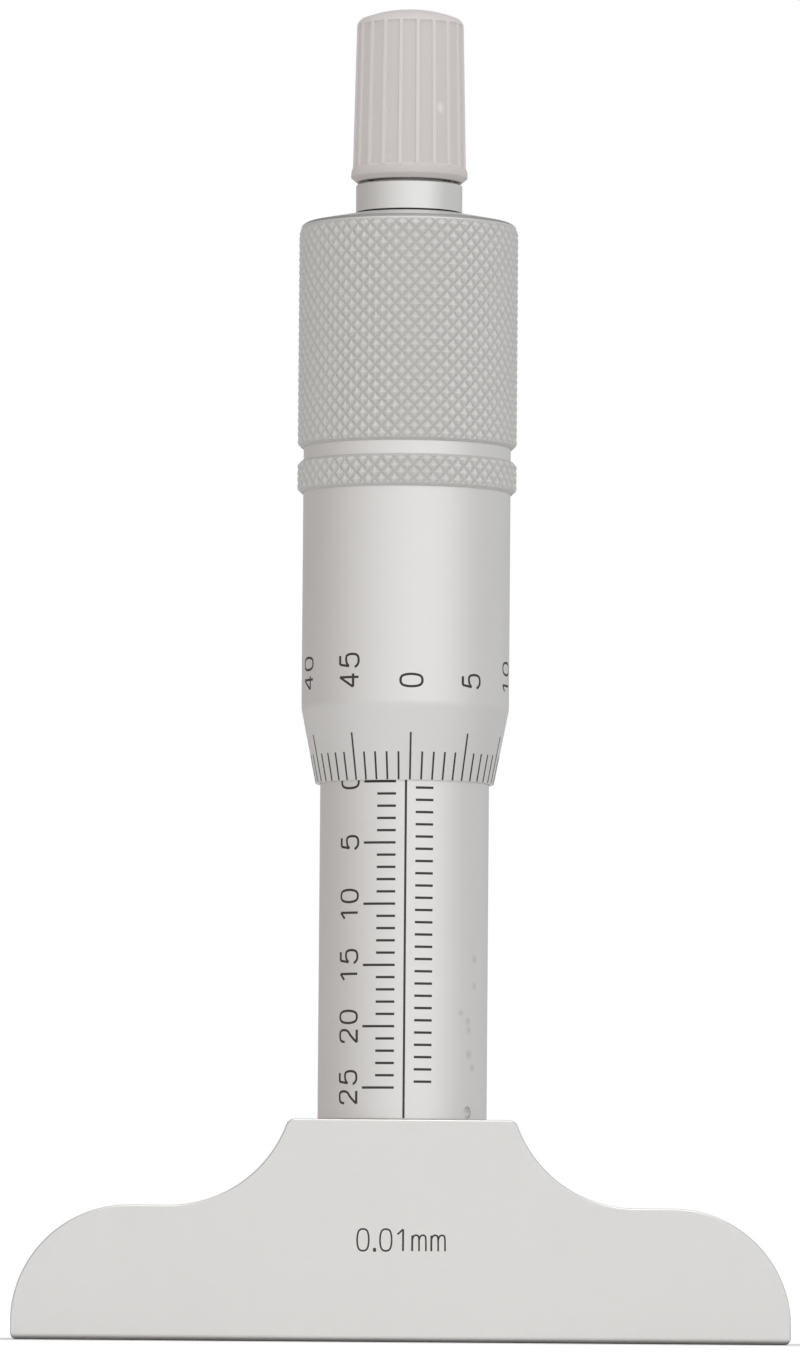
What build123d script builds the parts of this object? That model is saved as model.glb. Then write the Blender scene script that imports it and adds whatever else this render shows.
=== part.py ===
from build123d import *
import os
from math import asin, cos, radians, sin, sqrt, tan

# Depth micrometer, 0 to 25 mm, standing on its reference face.
# Lengths are in millimetres and angles in degrees. Z is the spindle's axis and points up, X runs
# along the base, and the scale faces -Y. The origin is on the reference face, on the axis.
# The micrometer reads zero: the end of the rod is level with the reference face, and the mouth of
# the thimble stands on the zero line of the sleeve.

# Reading
measuring_range = 25.0

# Gaps, each measured on one side
press_gap = 0.01  # between parts that are pressed, screwed or glued together
running_gap = 0.02  # between parts that turn or slide in each other
overrun = 1.0  # how far a cutting tool starts outside the material
drill_point = 118.0  # degrees, of a blind hole's end

# Base: a ground steel bridge
base_length = 63.5
base_thickness = 16.0
wing_height = 11.0
wing_end_straight = 1.4  # upright stretch at the end of a wing, under its round
boss_height = 18.1
boss_width = 18.5
sweep_radius = 10.2  # concave sweep between wing and boss
boss_corner = 0.7  # round between sweep and boss
base_edge = 0.18  # chamfer along the front and back outlines
foot_edge = 0.33  # chamfer around the reference face
base_floor = 4.0  # steel left under the stem
rod_hole_gap = 0.6

# Spindle: rod, thread, collar and taper in one piece
rod_diameter = 5.0
rod_edge = 0.2
thread_step = 0.75  # from the rod up to the thread
thread_bottom_spare = 2.0  # from the rod guide to the thread, with the rod fully out
collar_step = 0.75  # from the thread up to the collar
collar_spare = 0.4  # from the nut to the collar, with the rod fully out
collar_height = 0.2
taper_drop = 0.5  # by how much the seat of the thimble narrows
stud_hole_spare = 1.2

# Stem: pressed into the base, guides the rod and ends in the slotted spindle nut
rod_guide_length = 15.0
relief_depth = 0.35  # of the bore between guide and nut, beyond the thread
nut_wall = 2.0
nut_seat_length = 8.0
nut_seat_drop = 0.15  # by how much the thread of the adjusting nut narrows
nut_length = 14.6
nut_slot_length = 7.0
nut_slot_width = 0.6
nut_slot_count = 4
stem_step = 0.73  # from the seat of the adjusting nut out to the stem
stem_lip = 0.3  # stem showing above the outer sleeve
spigot_step = 1.0  # shoulder that seats on the boss
stem_edge = 0.3

# Adjusting nut
adjusting_nut_height = 4.0
adjusting_nut_wall = 0.8
adjusting_nut_drop = 1.0  # from the top of the spindle nut down to it
spanner_notch_width = 1.2
spanner_notch_depth = 1.0
spanner_notch_count = 2

# Outer sleeve: carries the scale and is turned to set zero
sleeve_wall = 0.93
sleeve_foot_gap = 0.02
sleeve_foot_margin = 2.7  # from the boss to the last line of the scale
sleeve_overlap = 6.5  # from the zero line up into the thimble
sleeve_edge = 0.2
key_hole_diameter = 1.0
key_hole_depth = 0.45
key_hole_rise = 0.66  # from the boss to the middle of the hole
key_hole_angle = 50.0  # degrees round from the front, to the right

# Thimble
thimble_gap = 0.06
mouth_wall = 0.315
bevel_height = 6.2
barrel_wall = 1.54
barrel_height = 17.8
knurl_height = 0.5  # from the barrel to the crests of the knurl
narrow_band_height = 2.65
groove_height = 1.1
band_edge = 0.35
shoulder_radius = 0.85
crown_wall = 6.0  # solid metal over the cavity

# Ratchet body: its collar clamps the thimble onto the taper of the spindle
draw_gap = 0.7  # from the end of the taper to the top of the thimble
stud_diameter = 3.0
stud_length = 7.0
collar_seat = 0.89  # from the end of the taper out to the collar
ratchet_collar_height = 3.22
ratchet_collar_edge = 0.12
spanner_hole_diameter = 1.0
spanner_hole_depth = 1.8
hub_height = 0.9
tooth_count = 12
tooth_height = 0.45
tooth_tip_gap = 0.05  # between the tips at the top of a click
tooth_side_gap = 0.8  # degrees
pivot_diameter = 3.0

# Clutch ring
clutch_wall = 1.5
clutch_ring_height = 2.6
lug_height = 0.35
lug_width = 1.4
lug_count = 2

# Ratchet sleeve: steel liner in the knob
liner_wall = 0.8
liner_keyway_spare = 0.8  # keyway above the raised clutch ring
spring_room = 6.0
web_height = 1.2
bead_depth = 0.12
bead_width = 0.5
bead_share = 0.5  # place of the bead on the height of the liner

# Ratchet spring
spring_wire = 0.5
spring_turns = 4.5
spring_inner_gap = 0.4  # to the pivot
spring_end_gap = 0.02

# Retaining screw and washer
knob_play = 0.05
washer_height = 0.4
washer_lap = 1.1  # of the washer over the web
screw_diameter = 1.6
screw_length = 4.5
screw_head_lap = 1.0  # of the head beyond the shank
screw_head_height = 1.1
screw_slot_width = 0.4
screw_slot_depth = 0.5

# Ratchet cap: the moulded knob
knob_gap = 0.2
cap_wall = 0.84  # of the lip, at its widest, outside the bead
lip_underside_width = 0.45
lip_underside_height = 0.38
lip_band_height = 0.42
lip_slope_height = 0.35
rib_step = 0.11  # from the lip in to the crests of the ribs
rib_width = 0.3
rib_count = 20
panel_depth = 0.15  # from the crest of a rib down to the panel
panel_drop = 0.6  # from the foot of the dome down to the panels
knob_taper = 0.265  # by how much the ribs lean in from lip to dome
dome_radius = 11.0
dome_edge = 0.9
cap_crown = 1.45
screw_room = 0.35
liner_lift = 0.15  # liner's foot above the cap's

# Radii and heights that follow from the sizes above
rod_radius = rod_diameter / 2
thread_radius = rod_radius + thread_step
collar_radius = thread_radius + collar_step
taper_top_radius = collar_radius - taper_drop

nut_bore_radius = thread_radius + running_gap
nut_seat_radius = nut_bore_radius + nut_wall
stem_radius = nut_seat_radius + stem_step
spigot_radius = stem_radius - spigot_step
sleeve_bore_radius = stem_radius + running_gap
sleeve_radius = sleeve_bore_radius + sleeve_wall
thimble_bore_radius = sleeve_radius + thimble_gap
mouth_radius = thimble_bore_radius + mouth_wall
barrel_radius = thimble_bore_radius + barrel_wall
knurl_radius = barrel_radius + knurl_height

last_line_level = boss_height + sleeve_foot_margin
zero_level = last_line_level + measuring_range
sleeve_top = zero_level + sleeve_overlap
stem_top = sleeve_top + stem_lip
nut_top = stem_top + nut_seat_length
guide_top = base_floor + rod_guide_length
thread_bottom = guide_top + measuring_range + thread_bottom_spare
collar_bottom = nut_top + measuring_range + collar_spare
taper_bottom = collar_bottom + collar_height

bevel_top = zero_level + bevel_height
narrow_band_bottom = bevel_top + barrel_height
narrow_band_top = narrow_band_bottom + narrow_band_height
main_band_bottom = narrow_band_top + groove_height
thimble_top = taper_bottom + crown_wall
taper_top = thimble_top - draw_gap

ratchet_collar_radius = taper_top_radius + collar_seat
ratchet_collar_top = thimble_top + ratchet_collar_height
hub_top = ratchet_collar_top + hub_height
pivot_radius = pivot_diameter / 2
clutch_bore_radius = pivot_radius + running_gap
clutch_radius = clutch_bore_radius + clutch_wall
liner_bore_radius = clutch_radius + running_gap
liner_radius = liner_bore_radius + liner_wall
tooth_pitch = 360 / tooth_count
clutch_root = hub_top + tooth_height + tooth_tip_gap + tooth_height
clutch_top = hub_top + tooth_height + tooth_tip_gap + clutch_ring_height

cap_foot = ratchet_collar_top + knob_gap
liner_foot = cap_foot + liner_lift
keyway_top = clutch_top + liner_keyway_spare
web_bottom = clutch_top + spring_room
web_top = web_bottom + web_height
washer_bottom = web_top + knob_play
washer_top = washer_bottom + washer_height
washer_radius = pivot_radius + washer_lap
screw_radius = screw_diameter / 2
screw_head_radius = screw_radius + screw_head_lap
screw_top = washer_top + screw_head_height
cap_bore_radius = liner_radius + press_gap
lip_radius = cap_bore_radius + bead_depth + cap_wall
bead_level = liner_foot + (web_top - liner_foot) * bead_share
rib_radius = lip_radius - rib_step
cap_ceiling = screw_top + screw_room
knob_top = cap_ceiling + cap_crown


def turned(*corners, rounded=None, rounding=0.0):
    """A turned body from the corners of its half section, each (radius, height). One may be rounded."""
    section = make_face(Polyline(*corners, close=True))
    if rounded:
        section = fillet(section.vertices().sort_by_distance(rounded)[0], rounding)
    return revolve(Plane.XZ * section, Axis.Z)


def drilled(radius, mouth, bottom):
    """What a drill takes out, down from a mouth."""
    tip = bottom - radius / tan(radians(drill_point / 2))
    return turned((0, tip), (radius, bottom), (radius, mouth + overrun), (0, mouth + overrun))


def around(count, shape, start=0.0):
    """Equal copies of a shape about the axis."""
    return [Rot(0, 0, start + turn * 360 / count) * shape for turn in range(count)]


def face_teeth(inner_radius, outer_radius, root_level, direction):
    """Ratchet teeth on a ring's face, up (1) or down (-1). Each has one upright side and one long ramp."""
    lean = radians(tooth_pitch - tooth_side_gap)
    sunk = root_level - direction * tooth_height / 2
    tip = root_level + direction * tooth_height
    steep_angle, ramp_angle = (0.0, lean) if direction > 0 else (lean, 0.0)
    reach = outer_radius / cos(lean / 2) + running_gap
    start = inner_radius / 2

    def side(radius):
        steep = (radius * cos(steep_angle), radius * sin(steep_angle))
        ramp = (radius * cos(ramp_angle), radius * sin(ramp_angle))
        corners = [(*steep, sunk), (*steep, tip), (*ramp, root_level), (*ramp, sunk)]
        return Face(Wire.make_polygon([Vector(*corner) for corner in corners]))

    tooth = Solid.make_loft([side(start).outer_wire(), side(reach).outer_wire()], ruled=True)
    low, high = min(sunk, tip), max(sunk, tip)
    ring = turned((inner_radius, low), (outer_radius, low), (outer_radius, high), (inner_radius, high))
    return [piece & ring for piece in around(tooth_count, Part() + tooth)]


def make_base():
    half_length = base_length / 2
    half_boss = boss_width / 2
    rise = boss_height - wing_height
    sweep_centre = half_boss + sqrt(sweep_radius**2 - (sweep_radius - rise) ** 2)
    end_radius = min(wing_height - wing_end_straight, half_length - sweep_centre)
    round_bottom = wing_height - end_radius
    middle_angle = asin((half_boss - sweep_centre) / sweep_radius) / 2
    sweep_middle = (
        sweep_centre + sweep_radius * sin(middle_angle),
        wing_height + sweep_radius - sweep_radius * cos(middle_angle),
    )
    round_middle = (
        half_length - end_radius + end_radius * sin(radians(45)),
        round_bottom + end_radius * cos(radians(45)),
    )
    right_side = [
        Line((0, 0), (half_length, 0)),
        Line((half_length, 0), (half_length, round_bottom)),
        ThreePointArc((half_length, round_bottom), round_middle, (half_length - end_radius, wing_height)),
        ThreePointArc((sweep_centre, wing_height), sweep_middle, (half_boss, boss_height)),
        Line((half_boss, boss_height), (0, boss_height)),
    ]
    if half_length - end_radius > sweep_centre:
        right_side.append(Line((half_length - end_radius, wing_height), (sweep_centre, wing_height)))
    left_side = [edge.mirror(Plane.YZ) for edge in right_side]
    outline = make_face(Curve() + right_side + left_side)
    corners = [outline.vertices().sort_by_distance((side * half_boss, boss_height))[0] for side in (-1, 1)]
    outline = fillet(corners, boss_corner)
    body = extrude(Plane.XZ * outline, base_thickness / 2, both=True)
    outlines = body.faces().sort_by(Axis.Y)[0].edges() + body.faces().sort_by(Axis.Y)[-1].edges()
    upper_edges = [edge for edge in outlines if edge.center().Z > foot_edge]
    body = chamfer(upper_edges, base_edge)
    body = chamfer(body.faces().sort_by(Axis.Z)[0].edges().filter_by(Axis.X), foot_edge)
    socket = turned(
        (0, base_floor),
        (spigot_radius + press_gap, base_floor),
        (spigot_radius + press_gap, boss_height - stem_edge),
        (spigot_radius + press_gap + stem_edge, boss_height),
        (spigot_radius + press_gap + stem_edge, boss_height + overrun),
        (0, boss_height + overrun),
    )
    rod_hole_radius = rod_radius + rod_hole_gap
    rod_hole = turned((0, -overrun), (rod_hole_radius, -overrun), (rod_hole_radius, boss_height), (0, boss_height))
    return body - socket - rod_hole


def make_inner_sleeve():
    guide_radius = rod_radius + running_gap
    relief_radius = thread_radius + relief_depth
    nut_bottom = nut_top - nut_length
    seat_top_radius = nut_seat_radius - nut_seat_drop
    body = turned(
        (guide_radius, base_floor),
        (spigot_radius, base_floor),
        (spigot_radius, boss_height),
        (stem_radius, boss_height),
        (stem_radius, stem_top - stem_edge),
        (stem_radius - stem_edge, stem_top),
        (nut_seat_radius, stem_top),
        (seat_top_radius, nut_top),
        (nut_bore_radius, nut_top),
        (nut_bore_radius, nut_bottom),
        (relief_radius, nut_bottom - (relief_radius - nut_bore_radius)),
        (relief_radius, guide_top + (relief_radius - guide_radius)),
        (guide_radius, guide_top),
    )
    slot_height = nut_slot_length + overrun
    slot = Pos(stem_radius / 2, 0, nut_top + overrun - slot_height / 2) * Box(
        stem_radius, nut_slot_width, slot_height
    )
    return body - around(nut_slot_count, slot, start=180 / nut_slot_count)


def make_adjusting_nut():
    top = nut_top - adjusting_nut_drop
    bottom = top - adjusting_nut_height

    def seat_radius(level):
        return nut_seat_radius - nut_seat_drop * (level - stem_top) / nut_seat_length + press_gap

    outer_radius = seat_radius(bottom) + adjusting_nut_wall
    body = turned(
        (seat_radius(bottom), bottom),
        (outer_radius, bottom),
        (outer_radius, top),
        (seat_radius(top), top),
    )
    notch = Pos(outer_radius, 0, top - spanner_notch_depth / 2 + overrun / 2) * Box(
        4 * adjusting_nut_wall, spanner_notch_width, spanner_notch_depth + overrun
    )
    return body - around(spanner_notch_count, notch)


def make_outer_sleeve():
    bottom = boss_height + sleeve_foot_gap
    body = turned(
        (sleeve_bore_radius, bottom),
        (sleeve_radius - sleeve_edge, bottom),
        (sleeve_radius, bottom + sleeve_edge),
        (sleeve_radius, sleeve_top - sleeve_edge),
        (sleeve_radius - sleeve_edge, sleeve_top),
        (sleeve_bore_radius, sleeve_top),
    )
    key_hole = Pos(0, -sleeve_radius, boss_height + key_hole_rise) * Rot(90, 0, 0) * Cylinder(
        key_hole_diameter / 2, 2 * key_hole_depth
    )
    return body - Rot(0, 0, key_hole_angle) * key_hole


def make_spindle():
    body = turned(
        (0, 0),
        (rod_radius - rod_edge, 0),
        (rod_radius, rod_edge),
        (rod_radius, thread_bottom - thread_step),
        (thread_radius, thread_bottom),
        (thread_radius, collar_bottom),
        (collar_radius, collar_bottom),
        (collar_radius, taper_bottom),
        (taper_top_radius, taper_top),
        (0, taper_top),
    )
    hole_bottom = thimble_top - stud_length - stud_hole_spare
    return body - drilled(stud_diameter / 2 + press_gap, taper_top, hole_bottom)


def make_thimble():
    taper_slope = taper_drop / (taper_top - taper_bottom)
    hole_top_radius = taper_top_radius - taper_slope * draw_gap + press_gap
    shoulder = (knurl_radius, thimble_top)
    return turned(
        (thimble_bore_radius, zero_level),
        (mouth_radius, zero_level),
        (barrel_radius, bevel_top),
        (barrel_radius, narrow_band_bottom),
        (knurl_radius - band_edge, narrow_band_bottom),
        (knurl_radius, narrow_band_bottom + band_edge),
        (knurl_radius, narrow_band_top - band_edge),
        (knurl_radius - band_edge, narrow_band_top),
        (barrel_radius, narrow_band_top),
        (barrel_radius, main_band_bottom),
        (knurl_radius - band_edge, main_band_bottom),
        (knurl_radius, main_band_bottom + band_edge),
        shoulder,
        (hole_top_radius, thimble_top),
        (collar_radius + press_gap, taper_bottom),
        (thimble_bore_radius, taper_bottom),
        rounded=shoulder,
        rounding=shoulder_radius,
    )


def make_ratchet_body():
    stud_radius = stud_diameter / 2
    body = turned(
        (0, thimble_top - stud_length),
        (stud_radius, thimble_top - stud_length),
        (stud_radius, thimble_top),
        (ratchet_collar_radius - ratchet_collar_edge, thimble_top),
        (ratchet_collar_radius, thimble_top + ratchet_collar_edge),
        (ratchet_collar_radius, ratchet_collar_top - ratchet_collar_edge),
        (ratchet_collar_radius - ratchet_collar_edge, ratchet_collar_top),
        (clutch_radius, ratchet_collar_top),
        (clutch_radius, hub_top),
        (pivot_radius, hub_top),
        (pivot_radius, washer_bottom),
        (0, washer_bottom),
    )
    spanner_hole = Pos(0, ratchet_collar_radius, (thimble_top + ratchet_collar_top) / 2) * Rot(90, 0, 0)
    body -= spanner_hole * Cylinder(spanner_hole_diameter / 2, 2 * spanner_hole_depth)
    body -= drilled(screw_radius + press_gap, washer_bottom, washer_top - screw_length - stud_hole_spare)
    return body + face_teeth(clutch_bore_radius, clutch_radius, hub_top, 1)


def make_clutch_ring():
    body = turned(
        (clutch_bore_radius, clutch_root),
        (clutch_radius, clutch_root),
        (clutch_radius, clutch_top),
        (clutch_bore_radius, clutch_top),
    )
    lug_radius = clutch_radius + lug_height
    rim = turned(
        (clutch_bore_radius, clutch_root),
        (lug_radius, clutch_root),
        (lug_radius, clutch_top),
        (clutch_bore_radius, clutch_top),
    )
    lug = Pos(lug_radius / 2 + clutch_bore_radius / 2, 0, (clutch_root + clutch_top) / 2) * Box(
        lug_radius, lug_width, clutch_top - clutch_root
    )
    body += [piece & rim for piece in around(lug_count, lug)]
    return body + face_teeth(clutch_bore_radius, clutch_radius, clutch_root, -1)


def make_ratchet_sleeve():
    body = turned(
        (liner_bore_radius, liner_foot),
        (liner_radius, liner_foot),
        (liner_radius, bead_level - bead_width / 2 - bead_depth),
        (liner_radius - bead_depth, bead_level - bead_width / 2),
        (liner_radius - bead_depth, bead_level + bead_width / 2),
        (liner_radius, bead_level + bead_width / 2 + bead_depth),
        (liner_radius, web_top),
        (clutch_bore_radius, web_top),
        (clutch_bore_radius, web_bottom),
        (liner_bore_radius, web_bottom),
    )
    keyway_radius = clutch_radius + lug_height + running_gap
    keyway_bottom = liner_foot - overrun
    keyway = Pos(keyway_radius / 2, 0, (keyway_bottom + keyway_top) / 2) * Box(
        keyway_radius, lug_width + 2 * running_gap, keyway_top - keyway_bottom
    )
    return body - around(lug_count, keyway)


def make_ratchet_spring():
    bottom = clutch_top + spring_end_gap
    top = web_bottom - spring_end_gap
    wire_radius = spring_wire / 2
    coil_radius = pivot_radius + spring_inner_gap + wire_radius
    pitch = (top - bottom) / spring_turns
    path = Helix(pitch, top - bottom, coil_radius)
    section = Plane(path @ 0, z_dir=path % 0) * Circle(wire_radius)
    coil = Pos(0, 0, bottom) * sweep(section, path=path, is_frenet=True)
    outside = coil_radius + spring_wire
    ground = turned((0, bottom), (outside, bottom), (outside, top), (0, top))
    return coil & ground


def make_retaining_washer():
    inner_radius = screw_radius + 2 * press_gap
    return turned(
        (inner_radius, washer_bottom),
        (washer_radius, washer_bottom),
        (washer_radius, washer_top),
        (inner_radius, washer_top),
    )


def make_retaining_screw():
    body = turned(
        (0, washer_top - screw_length),
        (screw_radius, washer_top - screw_length),
        (screw_radius, washer_top),
        (screw_head_radius, washer_top),
        (screw_head_radius, screw_top),
        (0, screw_top),
    )
    slot = Pos(0, 0, screw_top) * Box(4 * screw_head_radius, screw_slot_width, 2 * screw_slot_depth)
    return body - slot


def make_ratchet_cap():
    lip_widest = cap_foot + lip_underside_height
    band_top = lip_widest + lip_band_height
    slope_top = band_top + lip_slope_height
    dome_foot_radius = rib_radius - knob_taper
    dome_angle = asin(dome_foot_radius / dome_radius)
    dome_foot = knob_top - dome_radius * (1 - cos(dome_angle))
    dome_middle = (
        dome_radius * sin(dome_angle / 2),
        knob_top - dome_radius * (1 - cos(dome_angle / 2)),
    )
    room_radius = washer_radius + screw_room
    bead_radius = cap_bore_radius - bead_depth
    side = [
        (0, knob_top),
        (0, cap_ceiling),
        (room_radius, cap_ceiling),
        (room_radius, web_top),
        (cap_bore_radius, web_top),
        (cap_bore_radius, bead_level + bead_width / 2 + bead_depth),
        (bead_radius, bead_level + bead_width / 2),
        (bead_radius, bead_level - bead_width / 2),
        (cap_bore_radius, bead_level - bead_width / 2 - bead_depth),
        (cap_bore_radius, cap_foot),
        (lip_radius - lip_underside_width, cap_foot),
        (lip_radius, lip_widest),
        (lip_radius, band_top),
        (rib_radius, slope_top),
        (dome_foot_radius, dome_foot),
    ]
    dome = ThreePointArc((dome_foot_radius, dome_foot), dome_middle, (0, knob_top))
    section = make_face(Polyline(*side) + dome)
    shoulder = section.vertices().sort_by_distance((dome_foot_radius, dome_foot))[0]
    body = revolve(Plane.XZ * fillet(shoulder, dome_edge), Axis.Z)

    panel_top = dome_foot - panel_drop
    lean = knob_taper * (panel_top - slope_top) / (dome_foot - slope_top)
    panel_ring = turned(
        (rib_radius - panel_depth, slope_top),
        (rib_radius + overrun, slope_top),
        (rib_radius + overrun, panel_top),
        (rib_radius - lean - panel_depth, panel_top),
    )
    rib = Pos(rib_radius, 0, (slope_top + panel_top) / 2) * Box(
        2 * overrun + 2 * rib_step + 2 * panel_depth + 2 * knob_taper, rib_width, panel_top - slope_top + overrun
    )
    return body - (panel_ring - around(rib_count, rib, start=180 / rib_count))


NODES = {
    "base": make_base,
    "inner_sleeve": make_inner_sleeve,
    "adjusting_nut": make_adjusting_nut,
    "outer_sleeve": make_outer_sleeve,
    "spindle": make_spindle,
    "thimble": make_thimble,
    "ratchet_body": make_ratchet_body,
    "clutch_ring": make_clutch_ring,
    "ratchet_sleeve": make_ratchet_sleeve,
    "ratchet_spring": make_ratchet_spring,
    "retaining_washer": make_retaining_washer,
    "retaining_screw": make_retaining_screw,
    "ratchet_cap": make_ratchet_cap,
}

os.makedirs("parts", exist_ok=True)
for name, make in NODES.items():
    piece = make()
    export_step(piece, f"parts/{name}.step")
    print(f"{name}: {piece.volume:.1f} cubic mm, top at {piece.bounding_box().max.Z:.2f} mm")
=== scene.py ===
# %% [markdown]
# # A depth micrometer, finished in Blender
#
# A depth micrometer measures how deep a hole or a step is. Its base stands on the work, and a
# thin rod comes out of the base when the thimble is turned. This lesson dresses a finished
# engineering model of one: the sizes and the moving bodies are already settled, and what is
# added here is what the eye reads, such as soft edges, knurling, scales and satin metal.
#
# The first cell loads that model as a fixed frame. Everything that follows is placed from it.

# %% Load the frame
from math import asin, atan2, cos, degrees, hypot, pi, radians, sin, sqrt, tan, tau

import bmesh
import bpy
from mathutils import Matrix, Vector


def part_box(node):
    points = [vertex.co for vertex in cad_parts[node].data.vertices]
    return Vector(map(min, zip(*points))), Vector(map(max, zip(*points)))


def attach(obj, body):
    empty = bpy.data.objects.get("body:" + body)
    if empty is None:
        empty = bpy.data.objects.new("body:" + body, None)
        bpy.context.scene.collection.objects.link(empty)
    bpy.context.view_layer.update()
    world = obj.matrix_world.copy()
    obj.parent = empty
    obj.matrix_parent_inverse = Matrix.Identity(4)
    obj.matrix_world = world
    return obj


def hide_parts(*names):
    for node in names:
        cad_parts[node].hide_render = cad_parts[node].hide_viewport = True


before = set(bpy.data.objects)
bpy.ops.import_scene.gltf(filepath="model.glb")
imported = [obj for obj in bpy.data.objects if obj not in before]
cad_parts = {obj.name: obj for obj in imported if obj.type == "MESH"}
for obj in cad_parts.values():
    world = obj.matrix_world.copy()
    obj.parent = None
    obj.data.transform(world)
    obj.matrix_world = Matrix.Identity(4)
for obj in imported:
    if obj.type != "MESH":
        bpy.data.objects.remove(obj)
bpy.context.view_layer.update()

# %% [markdown]
# Blender works in metres here, and the instrument is measured in millimetres. One named unit
# keeps the numbers readable. The axis of the rod is the line x = 0, y = 0, and the scales face
# the reader at -Y, so "front" always means towards -Y.

# %% Units and the sizes that the frame gives
MM = 0.001
SAME_PLACE = 0.001 * MM  # points nearer than this are one point

base_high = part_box("base")[1]
collar_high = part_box("ratchet_body")[1]
sleeve_low, sleeve_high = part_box("outer_sleeve")
thimble_low, thimble_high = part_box("thimble")
spindle_low, spindle_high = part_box("spindle")
knob_low, knob_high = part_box("ratchet_cap")

# %% [markdown]
# ## A few hand tools
#
# Most parts of a micrometer come off a lathe. In Blender a lathe is the Spin operator: half of
# the section is drawn point by point, by extruding one vertex, and spun once around the axis.
# These helpers wrap the operators that every turned part needs, so each part below stays short.


# %% Helpers to select and move
def select_only(piece):
    bpy.ops.object.select_all(action="DESELECT")
    piece.select_set(True)
    bpy.context.view_layer.objects.active = piece


def named(name):
    """Names the piece that was just added."""
    bpy.context.object.name = name
    return bpy.context.object


def new_object(name, data):
    piece = bpy.data.objects.new(name, data)
    bpy.context.scene.collection.objects.link(piece)
    select_only(piece)
    return piece


def settle():
    """Applies the place, turn and scale of the selected piece to its mesh."""
    bpy.ops.object.transform_apply(location=True, rotation=True, scale=True)


def select_all():
    bpy.ops.mesh.select_all(action="SELECT")


def edit_all():
    """Edit mode on the active piece, with all of it selected."""
    bpy.ops.object.mode_set(mode="EDIT")
    select_all()


def leave_edit(piece):
    bpy.ops.object.mode_set(mode="OBJECT")
    select_only(piece)


def move(x, y, z):
    bpy.ops.transform.translate(value=(x, y, z))


def extrude(x, y, z):
    bpy.ops.mesh.extrude_region_move(TRANSFORM_OT_translate={"value": (x, y, z)})


def spin(steps, angle, centre=(0, 0, 0), axis=(0, 0, 1), copies=False):
    bpy.ops.mesh.spin(steps=steps, angle=angle, center=centre, axis=axis, dupli=copies)


def bevel(offset, segments):
    bpy.ops.mesh.bevel(offset=offset, segments=segments, affect="EDGES")


# %% Helpers to draw and pick
def same(first, second):
    return abs(first - second) < SAME_PLACE


def start_piece(name):
    """One vertex on the axis, selected, in edit mode."""
    bpy.ops.mesh.primitive_plane_add(size=MM)
    piece = named(name)
    piece.data.name = name
    bpy.ops.object.mode_set(mode="EDIT")
    bpy.ops.mesh.select_mode(type="VERT")
    bpy.ops.mesh.merge(type="CENTER")
    return piece


def draw(corners):
    """Moves the one vertex to the first corner (radius, height), then extrudes it to each next one."""
    here = Vector((0, 0, 0))
    for number, (radius, height) in enumerate(corners):
        there = Vector((radius, 0, height))
        if number == 0:
            move(*(there - here))
        else:
            bpy.ops.mesh.extrude_vertices_move(TRANSFORM_OT_translate={"value": there - here})
        here = there


def pick(piece, wanted, kind="FACE"):
    """Selects the faces, edges or vertices whose middle passes the test, and returns how many."""
    bpy.ops.mesh.select_mode(type=kind)
    bpy.ops.mesh.select_all(action="DESELECT")
    mesh = bmesh.from_edit_mesh(piece.data)
    chosen = 0
    for part in {"FACE": mesh.faces, "EDGE": mesh.edges, "VERT": mesh.verts}[kind]:
        points = [part] if kind == "VERT" else part.verts
        middle = sum((point.co for point in points), Vector()) / len(points)
        if wanted(middle, part):
            part.select_set(True)
            chosen += 1
    mesh.select_flush_mode()
    bmesh.update_edit_mesh(piece.data)
    return chosen


def join_points():
    """Joins points that lie in one place."""
    select_all()
    bpy.ops.mesh.remove_doubles(threshold=SAME_PLACE)


def tidy_mesh():
    """Joins points, and turns all faces outwards."""
    join_points()
    bpy.ops.mesh.normals_make_consistent(inside=False)


# %% [markdown]
# Real edges are never razor sharp: a small round catches the light and tells the eye how big a
# thing is. The finishing helpers bevel the sharp edges with a modifier, smooth the shading
# across gentle angles only, and weight the normals by face area, which keeps large flat faces
# truly flat beside their small round edges.


# %% Helpers to finish a piece
def apply_modifier(piece, kind, **settings):
    bpy.context.view_layer.objects.active = piece
    bpy.ops.object.modifier_add(type=kind)
    modifier = piece.modifiers[-1]
    for name, value in settings.items():
        setattr(modifier, name, value)
    bpy.ops.object.modifier_apply(modifier=modifier.name)


def soften(piece, width, segments=3, sharper_than=25.0):
    """Rounds the edges that are sharper than an angle."""
    apply_modifier(
        piece, "BEVEL", width=width, segments=segments, limit_method="ANGLE",
        angle_limit=radians(sharper_than),
    )


def report(piece):
    triangles = sum(len(face.vertices) - 2 for face in piece.data.polygons)
    size = [round(side / MM, 2) for side in piece.dimensions]
    print(f"{piece.name}: {triangles} triangles, {size} mm")


def shade(piece, smooth_below=35.0, weighted=True):
    """Smooths the gentle angles, and prints what the piece has become."""
    leave_edit(piece)
    bpy.ops.object.shade_smooth_by_angle(angle=radians(smooth_below))
    if weighted:
        apply_modifier(piece, "WEIGHTED_NORMAL", keep_sharp=True, weight=80)
    report(piece)


def turned(name, corners, edge=0.0, steps=128, closed=True):
    """A turned piece. A closed section is a tube; an open one starts and ends on the axis."""
    piece = start_piece(name)
    draw(corners + corners[:1] if closed else corners)
    join_points()
    spin(steps, tau)
    tidy_mesh()
    leave_edit(piece)
    if edge:
        soften(piece, edge)
    return piece


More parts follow.
